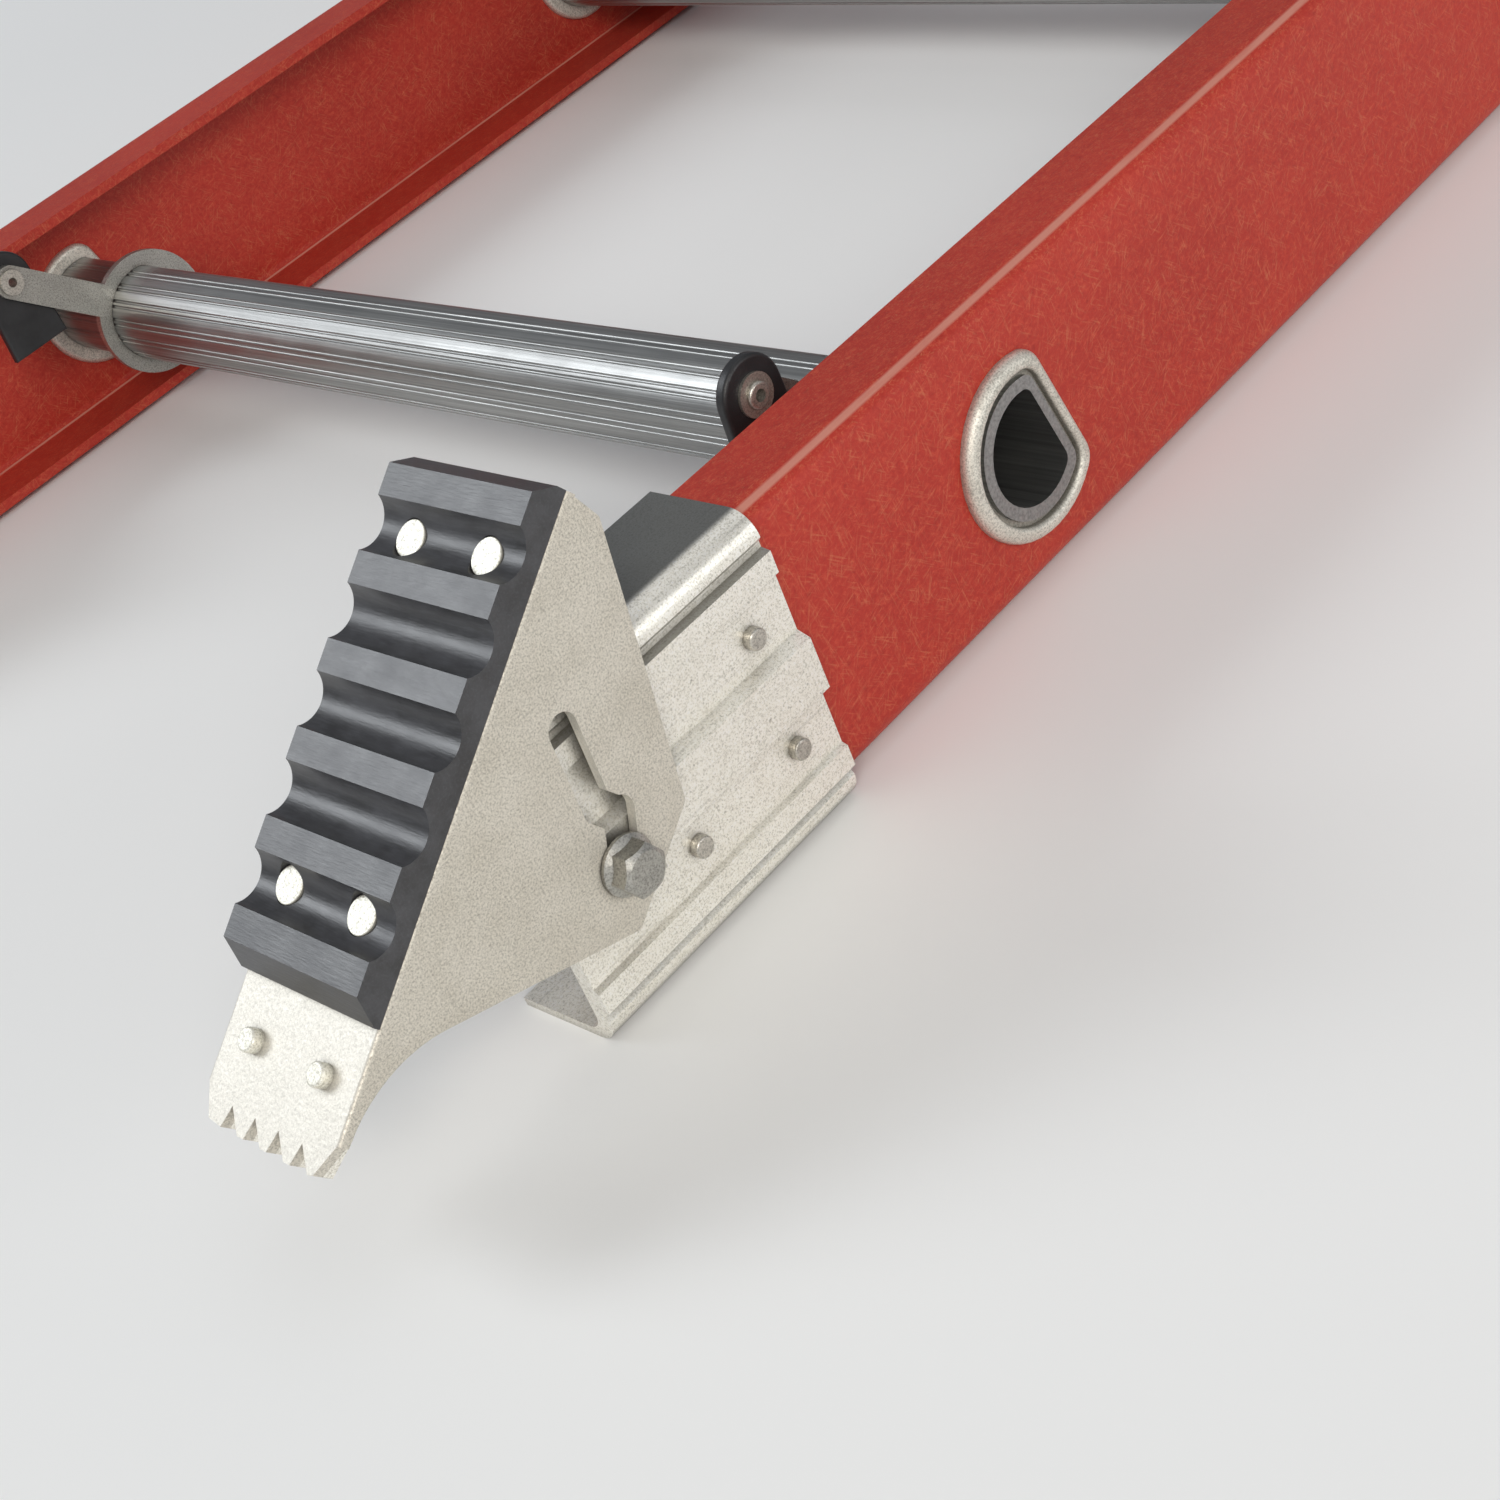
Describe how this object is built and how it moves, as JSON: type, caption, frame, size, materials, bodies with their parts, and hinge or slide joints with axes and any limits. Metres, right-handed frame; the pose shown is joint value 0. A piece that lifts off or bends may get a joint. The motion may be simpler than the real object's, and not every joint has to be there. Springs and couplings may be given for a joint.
{
  "type": "extension ladder",
  "caption": "Two-section fibreglass extension ladder with hollow D-shaped rungs, swivelling feet with rubber treads and spur teeth, rung locks and a sliding fly section.",
  "frame": {"origin": "middle of the footprint, on the plane that the ladder's back rests on when it lies flat", "axes": "+X from the feet to the top of the ladder, +Z the climber's side, +Y towards the left rail"},
  "size_m": [2.832, 0.5492, 0.1831],
  "materials": {
    "fibreglass": "satin orange-red pultruded fibreglass",
    "rung_aluminium": "extruded, lightly worn",
    "collar_aluminium": "matte swaged",
    "bracket_aluminium": "cast-look mottled extrusion",
    "guide_aluminium": "extruded",
    "galvanised_steel": "galvanised sheet",
    "spur_steel": "bright zinc sheet",
    "zinc_steel": "zinc plated",
    "spring_steel": "oiled wire",
    "bright_rivet": "bright rivet",
    "lock_casting": "die cast",
    "black_plastic": "moulded black",
    "wheel_nylon": "moulded black nylon",
    "tread_rubber": "moulded black rubber"
  },
  "bodies": {
    "base": {"base_end_caps": "black_plastic", "base_guide_left": "guide_aluminium", "base_guide_right": "guide_aluminium", "base_guide_rivets": "bright_rivet", "base_rail_left": "fibreglass", "base_rail_right": "fibreglass", "base_rung_1": "rung_aluminium", "base_rung_2": "rung_aluminium", "base_rung_3": "rung_aluminium", "base_rung_4": "rung_aluminium", "base_rung_5": "rung_aluminium", "base_rung_6": "rung_aluminium", "base_rung_7": "rung_aluminium", "base_rung_8": "rung_aluminium", "base_rung_collars": "collar_aluminium", "fly_stop_bumpers": "black_plastic", "fly_stop_rivets": "bright_rivet", "fly_stop_straps": "zinc_steel", "foot_bracket_left": "bracket_aluminium", "foot_bracket_right": "bracket_aluminium", "foot_bracket_rivets": "bright_rivet", "foot_pivot_bolts": "zinc_steel", "foot_pivot_nuts": "zinc_steel", "pulley_axle": "zinc_steel", "pulley_frame": "galvanised_steel"},
    "fly": {"fly_end_caps": "black_plastic", "fly_foot_left": "guide_aluminium", "fly_foot_right": "guide_aluminium", "fly_rail_left": "fibreglass", "fly_rail_right": "fibreglass", "fly_rung_1": "rung_aluminium", "fly_rung_2": "rung_aluminium", "fly_rung_3": "rung_aluminium", "fly_rung_4": "rung_aluminium", "fly_rung_5": "rung_aluminium", "fly_rung_6": "rung_aluminium", "fly_rung_7": "rung_aluminium", "fly_rung_8": "rung_aluminium", "fly_rung_collars": "collar_aluminium", "fly_web_rivets": "bright_rivet", "lock_housing_left": "lock_casting", "lock_housing_right": "lock_casting", "lock_pins": "zinc_steel", "lock_springs": "spring_steel"},
    "pulley_wheel": {"pulley_wheel": "wheel_nylon"},
    "lock_hook_right": {"lock_hook_right": "lock_casting"},
    "lock_latch_right": {"lock_latch_right": "zinc_steel"},
    "shoe_spacer_right": {"shoe_spacer_right": "zinc_steel"},
    "shoe_right": {"shoe_frame_right": "galvanised_steel", "tread_pad_right": "tread_rubber", "spur_plate_right": "spur_steel", "shoe_rivets_right": "bright_rivet"},
    "lock_hook_left": {"lock_hook_left": "lock_casting"},
    "lock_latch_left": {"lock_latch_left": "zinc_steel"},
    "shoe_spacer_left": {"shoe_spacer_left": "zinc_steel"},
    "shoe_left": {"shoe_frame_left": "galvanised_steel", "tread_pad_left": "tread_rubber", "spur_plate_left": "spur_steel", "shoe_rivets_left": "bright_rivet"}
  },
  "joints": [
    {"name": "fly_slide", "type": "slide", "parent": "base", "child": "fly", "axis": [1, 0, 0], "range_m": [-0.3048, 0.9144]},
    {"name": "shoe_swing_right", "type": "hinge", "parent": "base", "child": "shoe_spacer_right", "pos_m": [-1.31049, -0.24, 0.0474], "axis": [0, -1, 0], "range_deg": [-36, 69]},
    {"name": "shoe_slot_right", "type": "slide", "parent": "shoe_spacer_right", "child": "shoe_right", "axis": [-0.3317, 0, -0.9434], "range_m": [0, 0.0062]},
    {"name": "lock_swing_right", "type": "hinge", "parent": "fly", "child": "lock_hook_right", "pos_m": [-0.74799, -0.194, 0.0795], "axis": [0, -1, 0], "range_deg": [0, 38]},
    {"name": "latch_swing_right", "type": "hinge", "parent": "lock_hook_right", "child": "lock_latch_right", "pos_m": [-0.79767, -0.1871, 0.089], "axis": [0, -1, 0], "range_deg": [-50, 10]},
    {"name": "shoe_swing_left", "type": "hinge", "parent": "base", "child": "shoe_spacer_left", "pos_m": [-1.31049, 0.24, 0.0474], "axis": [0, -1, 0], "range_deg": [-36, 69]},
    {"name": "shoe_slot_left", "type": "slide", "parent": "shoe_spacer_left", "child": "shoe_left", "axis": [-0.3317, 0, -0.9434], "range_m": [0, 0.0062]},
    {"name": "lock_swing_left", "type": "hinge", "parent": "fly", "child": "lock_hook_left", "pos_m": [-0.74799, 0.194, 0.0795], "axis": [0, -1, 0], "range_deg": [0, 38]},
    {"name": "latch_swing_left", "type": "hinge", "parent": "lock_hook_left", "child": "lock_latch_left", "pos_m": [-0.79767, 0.1871, 0.089], "axis": [0, -1, 0], "range_deg": [-50, 10]},
    {"name": "pulley_spin", "type": "hinge", "parent": "base", "child": "pulley_wheel", "pos_m": [1.05081, 0, 0.0614], "axis": [0, 1, 0], "continuous": true}
  ]
}
